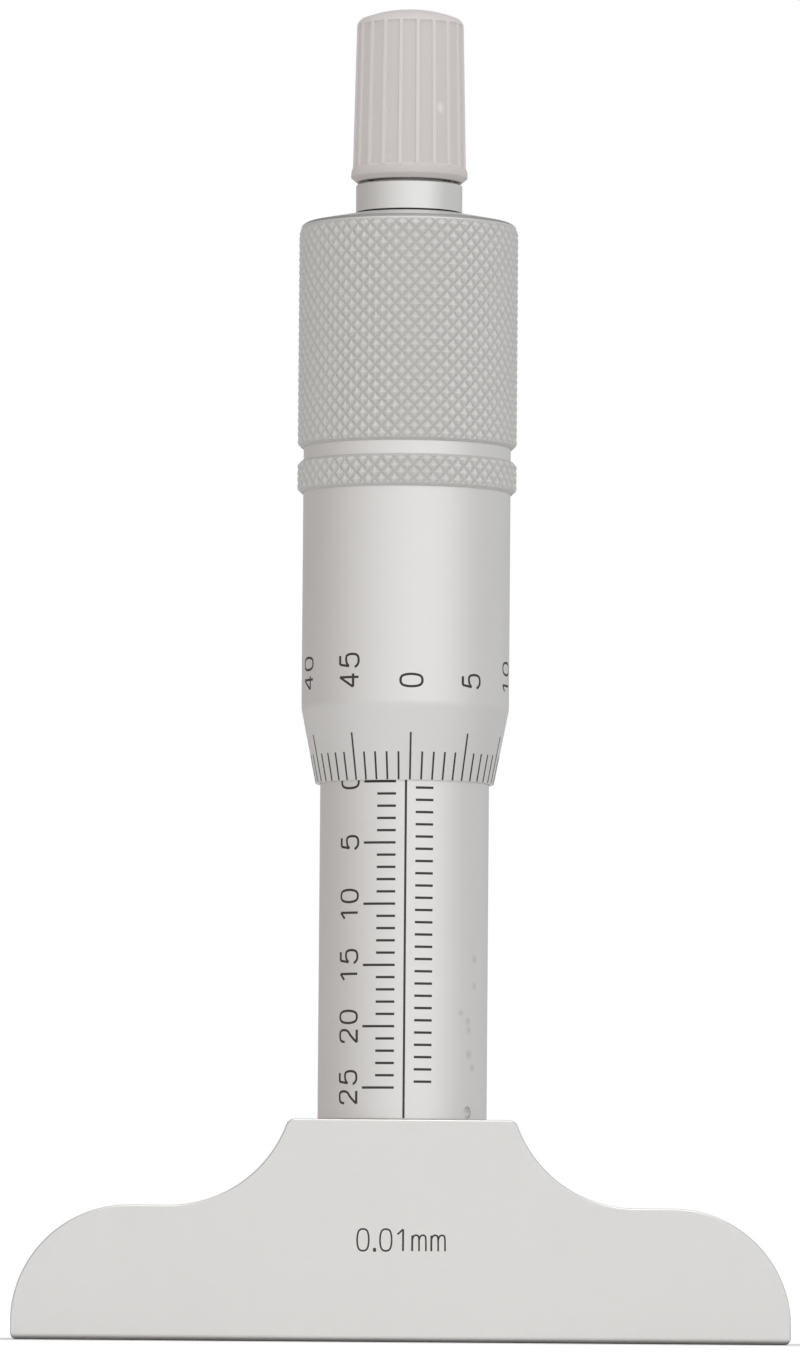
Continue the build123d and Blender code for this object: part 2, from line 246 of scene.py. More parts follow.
def bore(piece, radius, depth, middle, steps=96, rotation=(0, 0, 0)):
    """Bores a round hole: a Boolean modifier cuts a cylinder out, which is then thrown away."""
    bpy.ops.mesh.primitive_cylinder_add(
        vertices=steps, radius=radius, depth=depth, location=middle, rotation=rotation
    )
    drill = bpy.context.object
    apply_modifier(piece, "BOOLEAN", object=drill, operation="DIFFERENCE", solver="EXACT")
    bpy.data.objects.remove(drill)


def arc(centre, radius, start, end, steps):
    """Points on an arc in the half section, from one angle to another, in degrees."""
    turns = [radians(start + (end - start) * step / steps) for step in range(steps + 1)]
    return [(centre[0] + radius * cos(turn), centre[1] + radius * sin(turn)) for turn in turns]


def around(radius, turn):
    """The place on a circle that is turned from the front by an angle."""
    return radius * sin(turn), -radius * cos(turn)


# %% [markdown]
# ## The base
#
# The base is one ground steel block: a boss in the middle, a concave sweep on each side, and a
# wing that ends in a large round. It could be cut out of a box, but its outline is four straight
# runs and two arcs, so half of it is drawn the way a draughtsman would. The upright end of the
# right wing is a plane. Its top edge is spun through the round, extruded along the wing, spun
# through the sweep and extruded over the boss. A Mirror modifier makes the left half.

# %% Sizes of the base
wing_height = 11.0 * MM
wing_end_straight = 1.4 * MM
boss_width = 18.5 * MM
sweep_radius = 10.2 * MM
arc_steps = 24
half_length = base_high.x
half_thickness = base_high.y
boss_height = base_high.z
round_radius = wing_height - wing_end_straight
round_centre = half_length - round_radius
sweep_rise = boss_height - wing_height
sweep_centre = boss_width / 2 + sqrt(sweep_radius**2 - (sweep_radius - sweep_rise) ** 2)
sweep_angle = asin((sweep_centre - boss_width / 2) / sweep_radius)
print("The sweep turns through", round(degrees(sweep_angle), 1), "degrees")

# %% Draw the right half of the base
bpy.ops.mesh.primitive_plane_add(
    size=1, location=(half_length, 0, wing_end_straight / 2), rotation=(0, pi / 2, 0)
)
base = named("base_block")
base.scale = (wing_end_straight, 2 * half_thickness, 1)
settle()
bpy.ops.object.mode_set(mode="EDIT")


def pick_edge(x, z):
    """Selects the edge that runs along Y at one place of the outline."""
    return pick(base, lambda middle, edge: same(middle.y, 0)
                and hypot(middle.x - x, middle.z - z) < 10 * SAME_PLACE, "EDGE")


pick_edge(half_length, wing_end_straight)
spin(arc_steps, pi / 2, (round_centre, 0, wing_end_straight), (0, 1, 0))
pick_edge(round_centre, wing_height)
extrude(sweep_centre - round_centre, 0, 0)
spin(arc_steps, -sweep_angle, (sweep_centre, 0, wing_height + sweep_radius), (0, 1, 0))
pick_edge(boss_width / 2, boss_height)
extrude(-boss_width / 2, 0, 0)
pick_edge(half_length, 0)
extrude(-half_length, 0, 0)
leave_edit(base)
apply_modifier(base, "MIRROR", use_axis=(True, False, False), use_clip=True, merge_threshold=SAME_PLACE)
print("The outline has", len(base.data.edges), "edges")

# %% [markdown]
# The strip is open at the front and the back. Each rim is one closed loop, so one face fills it.
# Then the corners of the boss are rounded, the foot gets its chamfer, and two holes are bored:
# the socket that holds the stem of the micrometer, and a smaller hole that lets the rod through.

# %% Close the base and bore it
foot_chamfer = 0.33 * MM
top_edge = 0.18 * MM
boss_corner = 0.7 * MM * tan(sweep_angle / 2)  # a 0.7 mm round, measured along its two faces
socket_radius = 5.01 * MM
socket_floor = 4.0 * MM
rod_hole_radius = 3.1 * MM

bpy.ops.object.mode_set(mode="EDIT")
for side in (-1, 1):
    pick(base, lambda middle, edge: same(middle.y, side * half_thickness), "EDGE")
    bpy.ops.mesh.edge_face_add()
tidy_mesh()
pick(base, lambda middle, edge: same(middle.z, boss_height) and same(abs(middle.x), boss_width / 2), "EDGE")
bevel(boss_corner, 4)
pick(base, lambda middle, edge: same(middle.z, 0), "EDGE")
bevel(foot_chamfer, 1)
leave_edit(base)
for radius, bottom, top in (
    (socket_radius, socket_floor, boss_height + MM),
    (rod_hole_radius, -MM, boss_height),
):
    bore(base, radius, top - bottom, (0, 0, (top + bottom) / 2))
soften(base, top_edge, segments=3, sharper_than=40)
shade(base, 40)

# %% [markdown]
# ## The outer sleeve
#
# The sleeve is a plain tube with the main scale on it. It is turned a little on the stem to set
# zero, with a small hooked spanner in a blind hole near its foot. The tube is a spun section, and
# a short cylinder cuts the hole.

# %% Turn the sleeve
sleeve_radius = sleeve_high.x
sleeve_bore = 6.02 * MM
fine_steps = 192  # the large round pieces are seen close by
key_hole_radius = 0.5 * MM
key_hole_turn = radians(50)
key_hole_rise = 0.66 * MM
key_hole_depth = 0.45 * MM

sleeve = turned("sleeve_tube", [
    (sleeve_bore, sleeve_low.z),
    (sleeve_radius, sleeve_low.z),
    (sleeve_radius, sleeve_high.z),
    (sleeve_bore, sleeve_high.z),
], edge=0.15 * MM, steps=fine_steps)
bore(
    sleeve, key_hole_radius, 2 * key_hole_depth,
    (*around(sleeve_radius, key_hole_turn), boss_height + key_hole_rise),
    steps=32, rotation=(pi / 2, 0, key_hole_turn),
)
shade(sleeve)

# %% [markdown]
# ## The thimble
#
# The thimble is a drum that turns around the sleeve. From its mouth up it has a bevel with fifty
# lines, a smooth barrel, a narrow band of knurling, a plain groove, a long band of knurling, a
# rounded shoulder, and a top that slopes up a little to the collar. The smooth parts are one spun
# section. The two knurled bands are pieces of their own that sit in it, because their surface is
# made of many small pyramids.

# %% Turn the smooth body of the thimble
thimble_bore = 7.01 * MM
mouth_radius = 7.325 * MM
barrel_radius = 8.55 * MM
crest_radius = thimble_high.x
knurl_depth = 0.19 * MM
valley_radius = crest_radius - knurl_depth
band_core = barrel_radius - 0.1 * MM
band_lap = 0.3 * MM  # how far the plain body reaches under the end of a band
bevel_top = thimble_low.z + 6.2 * MM
narrow_low = bevel_top + 17.8 * MM
narrow_high = narrow_low + 2.65 * MM
main_low = narrow_high + 1.1 * MM
shoulder_radius = 0.85 * MM
shoulder_centre = (crest_radius - shoulder_radius, thimble_high.z - shoulder_radius)
shoulder_start = degrees(asin(sqrt(1 - ((valley_radius - shoulder_centre[0]) / shoulder_radius) ** 2)))
shoulder_end = 78
main_high = shoulder_centre[1] + shoulder_radius * sin(radians(shoulder_start))
slope_radius = 4.84 * MM  # the top slopes up from the shoulder to this radius
slope_high = thimble_high.z + 0.68 * MM
seat_radius = collar_high.x + 0.1 * MM
hole_low, hole_high = 4.01 * MM, 3.48 * MM
cavity_top = 86.2 * MM

thimble = turned("thimble_body", [
    (thimble_bore, thimble_low.z),
    (mouth_radius, thimble_low.z),
    (barrel_radius, bevel_top),
    (barrel_radius, narrow_low + band_lap),
    (band_core, narrow_low + band_lap),
    (band_core, narrow_high - band_lap),
    (barrel_radius, narrow_high - band_lap),
    (barrel_radius, main_low + band_lap),
    (band_core, main_low + band_lap),
    (band_core, main_high - band_lap),
    (valley_radius - 0.005 * MM, main_high - band_lap),
] + arc(shoulder_centre, shoulder_radius, shoulder_start, shoulder_end, 6) + [
    (slope_radius, slope_high),
    (seat_radius, slope_high),
    (seat_radius, thimble_high.z),
    (hole_high, thimble_high.z),
    (hole_low, cavity_top),
    (thimble_bore, cavity_top),
], steps=fine_steps)
bpy.ops.object.mode_set(mode="EDIT")
for radius, level, width, segments in (
    (mouth_radius, thimble_low.z, 0.04 * MM, 2),
    (barrel_radius, bevel_top, 0.3 * MM, 3),
):
    pick(thimble, lambda middle, edge: hypot(middle.x, middle.y) > radius - 0.02 * MM
         and all(same(point.co.z, level) for point in edge.verts), "EDGE")
    bevel(width, segments)
shade(thimble, 12)

# %% [markdown]
# ### Knurling
#
# A knurling tool presses two sets of slanted grooves into the steel, and small pyramids stay
# standing between them. The pattern is one diamond, repeated. Drawn flat, a pyramid is a circle
# with four vertices, filled, inset and pulled out. Two of them, half a pitch apart, make a tile
# that fills the plane. A column of tiles, one pitch wide, gets a back, and its ends are cut at a
# slant where the band was chamfered on the lathe. An Array modifier lays fifty-one columns side by
# side, and Simple Deform bends the flat strip round into a ring.

# %% A flat strip of pyramids, bent into a band
diamonds_around = 51
pitch = tau * crest_radius / diamonds_around
crest_share = 0.22  # how much of a pyramid's width its worn top keeps


def repeat(piece, count, step):
    apply_modifier(
        piece, "ARRAY", count=count, use_relative_offset=False,
        use_constant_offset=True, constant_offset_displace=step,
    )
    return piece


def trim(place, outward, fill=False):
    select_all()
    bpy.ops.mesh.bisect(
        plane_co=place, plane_no=Vector(outward).normalized(), clear_outer=True, use_fill=fill,
        threshold=SAME_PLACE / 10,
    )


def knurled_band(name, low, high, cuts):
    """A knurled ring between two heights. Each cut is (depth, height, outward normal in y and z)."""
    left = -tau * crest_radius / 2
    bpy.ops.mesh.primitive_circle_add(
        vertices=4, radius=pitch / 2, fill_type="NGON",
        location=(left, 0, low - pitch), rotation=(pi / 2, 0, 0),
    )
    band = named(name)
    settle()
    edit_all()
    move(0, knurl_depth, 0)
    bpy.ops.mesh.inset(thickness=pitch / 2 * sqrt(0.5) * (1 - crest_share), depth=0)
    move(0, -knurl_depth, 0)
    select_all()
    bpy.ops.mesh.duplicate_move(TRANSFORM_OT_translate={"value": (pitch / 2, 0, pitch / 2)})
    leave_edit(band)
    repeat(band, 2, (pitch, 0, 0))
    repeat(band, int((high - low) / pitch) + 3, (0, 0, pitch))
    edit_all()
    join_points()
    trim((left, 0, 0), (-1, 0, 0))
    trim((left + pitch, 0, 0), (1, 0, 0))
    trim((0, 0, low), (0, 0, -1))
    trim((0, 0, high), (0, 0, 1))
    select_all()
    extrude(0, 0, 0)
    bpy.ops.transform.resize(value=(1, 0, 1))
    move(0, crest_radius - band_core + 0.05 * MM, 0)
    tidy_mesh()
    for depth_at, height_at, outward in cuts:
        trim((0, depth_at, height_at), (0, *outward), fill=True)
    pick(band, lambda middle, face: same(middle.x, left) or same(middle.x, left + pitch))
    bpy.ops.mesh.delete(type="ONLY_FACE")
    select_all()
    bpy.ops.mesh.delete_loose()
    leave_edit(band)
    repeat(band, diamonds_around, (pitch, 0, 0))
    apply_modifier(band, "SIMPLE_DEFORM", deform_method="BEND", deform_axis="Z", angle=tau)
    edit_all()
    move(0, -crest_radius, 0)
    tidy_mesh()
    shade(band, 20, weighted=False)
    return band


# %% Knurl the two bands
band_chamfer = 0.35 * MM
narrow_band = knurled_band("narrow_knurl", narrow_low, narrow_high, [
    (band_chamfer, narrow_low, (-1, -1)),
    (band_chamfer, narrow_high, (-1, 1)),
])
main_band = knurled_band("main_knurl", main_low, main_high, [
    (band_chamfer, main_low, (-1, -1)),
    (knurl_depth + 0.03 * MM, main_high, (shoulder_centre[1] - main_high, knurl_depth)),
])

# %% [markdown]
# ## The measuring rod
#
# The rod runs up into a thicker thread and a taper that carries the thimble, all in one piece.
# It is turned like the sleeve, and a blind hole in its top takes the stud of the collar.

# %% Turn the rod
rod_radius = 2.5 * MM
thread_radius = 3.25 * MM
taper_radius = spindle_high.x
thread_low = 46.0 * MM
thread_high = 86.0 * MM
thread_pitch = 0.5 * MM
thread_root = thread_radius - 0.27 * MM
taper_top_radius = 3.5 * MM
stud_hole_radius = 1.51 * MM
stud_hole_low = 84.0 * MM
drill_tip = stud_hole_low - stud_hole_radius / tan(radians(59))

rod = turned("measuring_rod", [
    (0, spindle_low.z),
    (rod_radius, spindle_low.z),
    (rod_radius, thread_low - (thread_root - rod_radius)),
    (thread_root, thread_low),
    (thread_root, thread_high),
    (taper_radius, thread_high),
    (taper_radius, cavity_top),
    (taper_top_radius, spindle_high.z),
    (stud_hole_radius, spindle_high.z),
    (stud_hole_radius, stud_hole_low),
    (0, drill_tip),
], edge=0.12 * MM, closed=False)
shade(rod)

# %% [markdown]
# The thread has a pitch of half a millimetre. Its ridge is one small triangle, and the Screw
# modifier lifts it by one pitch on each turn around the rod.

# %% Wind the thread
ridge_foot = thread_root - 0.05 * MM
first_turn = thread_low + 0.1 * MM
ridge_height = 0.96 * thread_pitch  # a little less than a pitch, so no turn touches the next one
thread = start_piece("rod_thread")
draw([
    (ridge_foot, first_turn),
    (thread_radius, first_turn + ridge_height / 2),
    (ridge_foot, first_turn + ridge_height),
    (ridge_foot, first_turn),
])
join_points()
leave_edit(thread)
apply_modifier(
    thread, "SCREW", axis="Z", angle=tau, screw_offset=thread_pitch, steps=40, render_steps=40,
    iterations=int((thread_high - first_turn) / thread_pitch) - 1,
)
edit_all()
bpy.ops.mesh.fill_holes(sides=3)
tidy_mesh()
shade(thread, 30, weighted=False)

# %% [markdown]
# ## The metal collar
#
# The collar above the thimble belongs to the ratchet inside the knob, with small slanted teeth on
# its face. Those teeth are already exact in the frame, so a copy is taken: its loose triangles
# are joined, flat faces are dissolved into whole ones, and then the same soft edges can be added.


# %% Refine a copy of a node
def refined(name, node, edge):
    """A copy of a node with whole faces and soft edges. The node itself is left as it is."""
    piece = new_object(name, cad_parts[node].data.copy())
    bpy.ops.object.mode_set(mode="EDIT")
    bpy.ops.mesh.select_mode(type="VERT")
    join_points()
    bpy.ops.mesh.dissolve_limited(angle_limit=radians(0.3))
    leave_edit(piece)
    soften(piece, edge, segments=2, sharper_than=35)
    shade(piece)
    return piece


collar = refined("ratchet_collar", "ratchet_body", 0.05 * MM)

# %% [markdown]
# ## The ratchet knob
#
# The knob is moulded in light grey plastic. Twenty narrow ribs stand up between shallow panels,
# over a smooth lip. All ribs are alike, so one slice of eighteen degrees is made: the section is
# spun a little for the rib and further for the panel, the panel's faces are inset and pushed in,
# and Spin copies the slice around.

# %% Sizes of the knob
rib_count = 20
rib_width = 0.3 * MM
panel_depth = 0.15 * MM
panel_draft = 0.05 * MM  # how far a rib's side leans out
knob_turned = radians(0.7)  # the knob rests a little turned
knob_bore = 3.85 * MM
screw_room_radius = 2.95 * MM
bore_top = 106.62 * MM
room_top = 108.52 * MM
lip_radius = knob_high.x
lip_inner = lip_radius - 0.45 * MM
lip_widest = knob_low.z + 0.38 * MM
lip_top = lip_widest + 0.42 * MM
rib_foot = lip_top + 0.35 * MM
rib_radius = lip_radius - 0.11 * MM
dome_foot_radius = rib_radius - 0.265 * MM
dome_radius = 11.0 * MM
dome_angle = degrees(asin(dome_foot_radius / dome_radius))
dome_foot = knob_high.z - dome_radius * (1 - cos(radians(dome_angle)))
dome_centre = (0, knob_high.z - dome_radius)
dome_round = 0.57 * MM  # where the round of the dome's edge starts, on both sides of it
dome_start = 90 - dome_angle + degrees(dome_round / dome_radius)
slice_turn = tau / rib_count
rib_turn = rib_width / rib_radius
print("A rib takes", round(degrees(rib_turn), 1), "of", round(degrees(slice_turn), 1), "degrees")


# %% Mould one slice of the knob and copy it around
def rounded(before, corner, after, reach, steps):
    """An arc that rounds a corner of the section and meets both its sides at one distance."""
    corner = Vector(corner)
    back, onward = [(Vector(point) - corner).normalized() for point in (before, after)]
    half = back.angle(onward) / 2
    centre = corner + (back + onward).normalized() * reach / cos(half)
    spokes = [corner + side * reach - centre for side in (back, onward)]
    first, last = [degrees(atan2(spoke.y, spoke.x)) for spoke in spokes]
    return arc(centre, reach * tan(half), first, last, steps)


dome_points = arc(dome_centre, dome_radius, dome_start, 90, 10)
round_points = rounded(
    (rib_radius, rib_foot), (dome_foot_radius, dome_foot), dome_points[0], dome_round, 7
)
panel_top = round_points[2][1]

knob = start_piece("knob")
draw([
    (0, room_top),
    (screw_room_radius, room_top),
    (screw_room_radius, bore_top),
    (knob_bore, bore_top),
    (knob_bore, knob_low.z),
    (lip_inner, knob_low.z),
    (lip_radius, lip_widest),
    (lip_radius, lip_top),
    (rib_radius, rib_foot),
] + round_points + dome_points[1:])
select_all()
spin(2, -rib_turn)
spin(6, -(slice_turn - rib_turn))


def in_panel(middle, margin, top):
    """True on the outside of the panel, in from its sides and its foot by a margin."""
    turn = abs(atan2(middle.y, middle.x))
    return (
        rib_foot + margin < middle.z < top
        and rib_turn + margin / rib_radius < turn < slice_turn - margin / rib_radius
        and hypot(middle.x, middle.y) > knob_bore + 0.1 * MM
    )


print("Faces in a panel:", pick(knob, lambda middle, face: in_panel(middle, 0, panel_top)))
bpy.ops.mesh.normals_make_consistent(inside=False)
bpy.ops.mesh.inset(thickness=panel_draft, depth=0)
fade_top = panel_top - 1.5 * panel_draft  # the upper row of points stays out, so the panel fades
pushed = pick(knob, lambda middle, point: in_panel(middle, panel_draft / 2, fade_top), "VERT")
print("Points pushed in:", pushed)
narrower = 1 - panel_depth / rib_radius
bpy.ops.transform.resize(value=(narrower, narrower, 1), center_override=(0, 0, 0))
select_all()
spin(rib_count - 1, tau - slice_turn, copies=True)
tidy_mesh()
leave_edit(knob)
knob.rotation_euler.z = slice_turn / 2 - rib_turn / 2 - knob_turned
settle()
soften(knob, 0.05 * MM, segments=2, sharper_than=35)
shade(knob, 40)

# %% [markdown]
# ## Scales
#
# The lines and numbers are engraved and filled with dark paint. A thin plate of each mark, a
# hundredth of a millimetre proud, reads the same and stays crisp at any distance. Every mark is
# drawn flat first, with x as the length around the cylinder. Simple Deform then bends the whole
# plate around the axis, so a line of two millimetres stays two millimetres long.

# %% Flat bars and bending
mark_rise = 0.008 * MM
mark_sink = 0.02 * MM
line_width = 0.2 * MM
datum_width = 0.185 * MM


def flat_bar(name, left, right, low, high, cells=1):
    """A thin bar at y = 0 that faces the front."""
    bpy.ops.mesh.primitive_grid_add(
        x_subdivisions=cells, y_subdivisions=1, size=1, rotation=(pi / 2, 0, 0),
        location=((left + right) / 2, -mark_rise, (low + high) / 2),
    )
    bar = named(name)
    bar.scale = (right - left, high - low, 1)
    settle()
    edit_all()
    extrude(0, mark_rise + mark_sink, 0)
    tidy_mesh()
    leave_edit(bar)
    return bar


def joined(name, pieces):
    select_only(pieces[0])
    for piece in pieces:
        piece.select_set(True)
    bpy.ops.object.join()
    return named(name)


def wrapped(piece, radius):
    """Bends a flat piece around the axis."""
    across = [vertex.co.x for vertex in piece.data.vertices]
    turn = (max(across) - min(across)) / radius
    apply_modifier(piece, "SIMPLE_DEFORM", deform_method="BEND", deform_axis="Z", angle=turn)
    select_only(piece)
    edit_all()
    move(0, -radius, 0)
    leave_edit(piece)
    return piece


# %% [markdown]
# The numbers are cut with a round tool that follows one line, so each digit is a few strokes of
# the same width. A stroke is a NURBS curve of order three: it leaves along its first leg, rounds
# every corner, and ends on its last point. Curves with a round bevel become tubes, which are
# then pressed nearly flat.

# %% Digits as strokes, on a grid one unit high
STROKES = {
    "0": [[
        (0, 0.3), (0, 0.7), (0.1, 1), (0.46, 1), (0.56, 0.7), (0.56, 0.3), (0.46, 0), (0.1, 0),
    ]],
    "1": [[(0, 0.76), (0.27, 1)], [(0.27, 1), (0.27, 0)]],
    "2": [
        [(0.02, 0.7), (0.04, 0.94), (0.22, 1), (0.5, 1), (0.58, 0.8), (0.54, 0.5), (0.3, 0.36), (0, 0)],
        [(0, 0), (0.58, 0)],
    ],
    "3": [
        [(0.03, 0.78), (0.08, 1), (0.5, 1), (0.56, 0.84), (0.54, 0.54), (0.24, 0.54)],
        [(0.24, 0.54), (0.54, 0.54), (0.6, 0.3), (0.54, 0), (0.08, 0), (0, 0.22)],
    ],
    "4": [[(0.44, 0), (0.44, 1)], [(0.44, 1), (0, 0.28)], [(0, 0.28), (0.6, 0.28)]],
    "5": [
        [(0.52, 1), (0.12, 1)], [(0.12, 1), (0.05, 0.5)],
        [(0.05, 0.5), (0.14, 0.64), (0.5, 0.68), (0.6, 0.5), (0.6, 0.16), (0.48, 0), (0.1, 0), (0, 0.2)],
    ],
    ".": [[(-0.075, level), (0.075, level)] for level in (0, 0.045, 0.09)],
    "m": [
        [(0, 0), (0, 0.72)],
        [(0, 0.5), (0.03, 0.72), (0.3, 0.74), (0.33, 0.5), (0.33, 0)],
        [(0.33, 0.5), (0.36, 0.72), (0.63, 0.74), (0.66, 0.5), (0.66, 0)],
    ],
}
GLYPH_WIDTH = {"1": 0.45, ".": 0.0, "m": 0.66}
usual_width = 0.58
print("Strokes are drawn for", " ".join(STROKES))


# %% Write with the strokes
def text_length(text, spacing):
    """Length of a text in units of its height. A 1 at its end counts without the room after it."""
    return sum(GLYPH_WIDTH.get(letter, usual_width) for letter in text) + spacing * (len(text) - 1)


def written(name, text, start, height, stroke, spacing, sideways=True):
    """A flat text at y = 0. Sideways text reads upwards, with the tops of its digits to the left."""
    curve = bpy.data.curves.new(name, "CURVE")
    curve.dimensions = "3D"
    curve.bevel_depth = stroke / 2
    curve.bevel_resolution = 1
    curve.use_fill_caps = True
    along = 0.0
    for letter in text:
        for points in STROKES[letter]:
            spline = curve.splines.new("NURBS")
            spline.points.add(len(points) - 1)
            for point, (u, v) in zip(spline.points, points):
                right, up = (-v, along + u) if sideways else (along + u, v)
                point.co = (start[0] + right * height, 0, start[1] + up * height, 1)
            spline.use_cyclic_u = letter == "0"
            spline.use_endpoint_u = letter != "0"
            spline.order_u = 3
            spline.resolution_u = 5
        along += GLYPH_WIDTH.get(letter, usual_width) + spacing
    new_object(name, curve)
    bpy.ops.object.convert(target="MESH")
    piece = bpy.context.object
    edit_all()
    bpy.ops.transform.resize(value=(1, 2 * mark_rise / stroke, 1))
    tidy_mesh()
    bpy.ops.mesh.delete_loose()
    leave_edit(piece)
    return piece


def numbered(name, values, height, radius, place):
    """Numbers around a cylinder. The function given last says where the number of a value starts."""
    numbers = [
        written(f"{name}_{value}", str(value), place(value), height, digit_stroke, digit_spacing)
        for value in values
    ]
    piece = wrapped(joined(name, numbers), radius)
    shade(piece, 60, weighted=False)
    return piece


# %% [markdown]
# ### The scale on the sleeve
#
# A long datum line runs down the front. Millimetre lines stand to its left and half-millimetre
# lines to its right, and every fifth line is longer and carries its number. At rest the mouth of
# the thimble stands on the zero line.

# %% Sleeve scale
range_mm = 25
sleeve_unit = radians(1) * sleeve_radius  # length of one degree around the sleeve
datum_turn = 0.9
millimetre_ends = (-18.7, -5.8)
fifth_end = -28.3
half_ends = (7.6, 19.8)
digit_foot_turn = -32.7
digit_height = 1.78 * MM
digit_stroke = 0.23 * MM
digit_spacing = 0.31
zero_level = thimble_low.z - 0.1 * MM  # the zero line shows whole under the mouth


def level_lines(name, ends, level, count, step, cells):
    """Equal level lines from one degree round to another, one below the next."""
    bar = flat_bar(
        name, ends[0] * sleeve_unit, ends[1] * sleeve_unit,
        level - line_width / 2, level + line_width / 2, cells,
    )
    return repeat(bar, count, (0, 0, -step))


def sleeve_place(value):
    length = text_length(str(value), digit_spacing) * digit_height
    return digit_foot_turn * sleeve_unit, zero_level - value * MM - length / 2


sleeve_lines = wrapped(joined("sleeve_lines", [
    flat_bar(
        "datum", datum_turn * sleeve_unit - datum_width / 2, datum_turn * sleeve_unit + datum_width / 2,
        sleeve_low.z + 0.1 * MM, sleeve_high.z - 0.3 * MM,
    ),
    level_lines("millimetres", millimetre_ends, zero_level, range_mm + 1, MM, 8),
    level_lines("fifths", (fifth_end, millimetre_ends[0]), zero_level, range_mm // 5 + 1, 5 * MM, 6),
    level_lines("halves", half_ends, zero_level - MM / 2, range_mm, MM, 8),
]), sleeve_radius)
report(sleeve_lines)
sleeve_numbers = numbered(
    "sleeve_numbers", range(0, range_mm + 1, 5), digit_height, sleeve_radius, sleeve_place
)

# %% [markdown]
# ### The scale on the thimble
#
# Fifty lines stand around the bevel, one for each hundredth of a millimetre, because one turn
# moves the rod half a millimetre. One bar is laid on the slope of the bevel and Spin copies it.

# %% Thimble scale
divisions = 50
zero_turn = 3.3
bevel_run = hypot(barrel_radius - mouth_radius, bevel_top - thimble_low.z)
bevel_lean = asin((barrel_radius - mouth_radius) / bevel_run)
short_line = 2.35 * MM
long_line = 3.95 * MM
thimble_line_width = 0.157 * MM
number_foot = 53.38 * MM
thimble_digit_height = 1.8 * MM


def lines_on_bevel(name, low, high, count):
    """Equal lines on the bevel, from one distance above its edge to another."""
    bar = flat_bar(name, -thimble_line_width / 2, thimble_line_width / 2, low, high)
    bar.rotation_euler = (bevel_lean, 0, 0)
    bar.location = (0, -mouth_radius, thimble_low.z)
    settle()
    bar.rotation_euler = (0, 0, radians(zero_turn))
    settle()
    edit_all()
    spin(count - 1, tau * (count - 1) / count, copies=True)
    leave_edit(bar)
    return bar


def thimble_place(value):
    turn = zero_turn + 360 * value / divisions
    turn = turn - 360 if turn > 180 else turn
    return radians(turn) * barrel_radius + thimble_digit_height / 2, number_foot


thimble_lines = joined("thimble_lines", [
    lines_on_bevel("short_lines", 0.04 * MM, short_line, divisions),
    lines_on_bevel("long_lines", short_line, long_line, divisions // 5),
])
report(thimble_lines)
thimble_numbers = numbered(
    "thimble_numbers", range(0, divisions, 5), thimble_digit_height, barrel_radius, thimble_place
)

# %% [markdown]
# ### The mark on the base
#
# The base carries the value of one division. It is a plain unit mark, as on any such tool.

# %% Unit mark
unit_text = "0.01mm"
unit_height = 1.77 * MM
unit_stroke = 0.17 * MM
unit_foot = 7.4 * MM
unit_spacing = 0.26
unit_narrowing = 0.955  # these letters are a little narrower than those of the scales
unit_length = text_length(unit_text, unit_spacing) * unit_height
unit_mark = written(
    "unit_mark", unit_text, (-unit_length / 2, unit_foot), unit_height, unit_stroke, unit_spacing,
    sideways=False,
)
edit_all()
bpy.ops.transform.resize(value=(unit_narrowing, 1, 1), center_override=(0, 0, 0))
move(0, -half_thickness, 0)
shade(unit_mark, 60, weighted=False)

# %% [markdown]
# ## Finishes
#
# All the metal is a mirror that has been made rough in its own way, so every metal shares one
# recipe: a bright base, a roughness, and marks of the tool that made it. The marks are node
# groups, built once. One group gives fine lines around the axis, as a lathe leaves them. One
# gives straight grinding lines along the base. One gives a soft haze from handling.


# %% Helpers for nodes
def node(tree, kind, inputs=None, **settings):
    """A node. Each of its inputs gets a number to keep or a socket to follow."""
    made = tree.nodes.new(kind)
    for name, value in settings.items():
        setattr(made, name, value)
    for label, value in (inputs or {}).items():
        if isinstance(value, bpy.types.NodeSocket):
            tree.links.new(value, made.inputs[label])
        else:
            made.inputs[label].default_value = value
    return made


def new_group(name, labels, output):
    """A group of nodes. Returns it, the numbers that it is given and the socket that it fills."""
    group = bpy.data.node_groups.new(name, "ShaderNodeTree")
    for label in labels:
        group.interface.new_socket(label, in_out="INPUT", socket_type="NodeSocketFloat")
    group.interface.new_socket(output, in_out="OUTPUT", socket_type="NodeSocketFloat")
    return group, node(group, "NodeGroupInput").outputs, node(group, "NodeGroupOutput").inputs[output]


def use_group(tree, group, *values):
    return node(tree, "ShaderNodeGroup", dict(enumerate(values)), node_tree=group).outputs[0]


def math(tree, operation, *values, **settings):
    return node(tree, "ShaderNodeMath", dict(enumerate(values)), operation=operation, **settings).outputs[0]


def between(tree, value, low, high, start=0.25, end=0.75, **settings):
    """Stretches a value from one range to another."""
    inputs = {"Value": value, "From Min": start, "From Max": end, "To Min": low, "To Max": high}
    return node(tree, "ShaderNodeMapRange", inputs, **settings).outputs["Result"]


def blend(tree, share, first, second):
    """Mixes two colours. Each is a socket or three numbers."""
    first, second = [(*tone, 1) if isinstance(tone, tuple) else tone for tone in (first, second)]
    inputs = {0: share, 6: first, 7: second}  # the share, and the places of the two colours
    return node(tree, "ShaderNodeMix", inputs, data_type="RGBA").outputs[2]


def axes_of(tree, coordinates="Object"):
    """The coordinates of a point, one by one."""
    place = node(tree, "ShaderNodeTexCoord").outputs[coordinates]
    return node(tree, "ShaderNodeSeparateXYZ", {"Vector": place}).outputs


def length_of(tree, *sides):
    """How long the line is that goes so far along each of two axes."""
    squares = [math(tree, "POWER", math(tree, "ABSOLUTE", side), 2.0) for side in sides]
    return math(tree, "SQRT", math(tree, "ADD", *squares))


